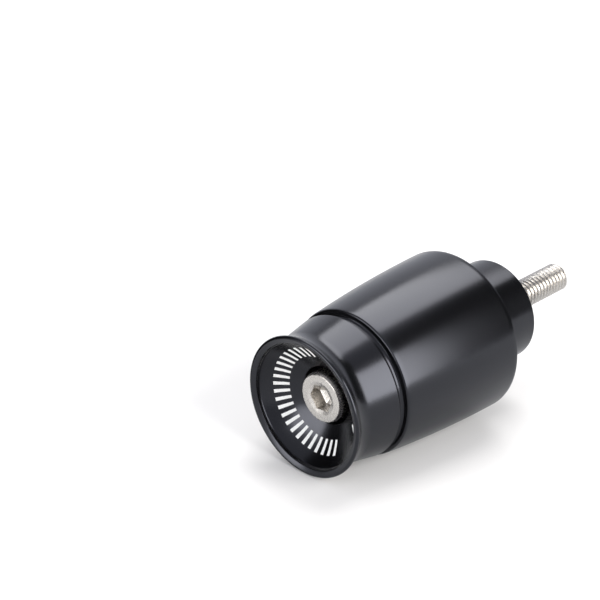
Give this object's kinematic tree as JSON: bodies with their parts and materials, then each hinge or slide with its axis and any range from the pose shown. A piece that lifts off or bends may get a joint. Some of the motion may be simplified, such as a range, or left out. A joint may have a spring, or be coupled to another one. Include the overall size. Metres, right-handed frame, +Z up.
{
  "type": "handlebar end weight",
  "caption": "Turned black weight for a handlebar end, with a dished cup, a grooved and tapered barrel, a spigot and a socket head screw through its axis.",
  "frame": {"origin": "centre of the spigot's end face, which sits against the end of the handlebar; the screw's threaded end starts there", "axes": "+X along the turned axis, out of the handlebar towards the cup; +Z up, with the axis level as on the motorbike"},
  "size_m": [0.0759, 0.0334, 0.0335],
  "materials": {
    "black_anodised": "black anodised, satin",
    "stainless": "bright, rolled thread"
  },
  "bodies": {
    "root": {"weight_body": "black_anodised", "cap_screw": "stainless"}
  },
  "joints": []
}
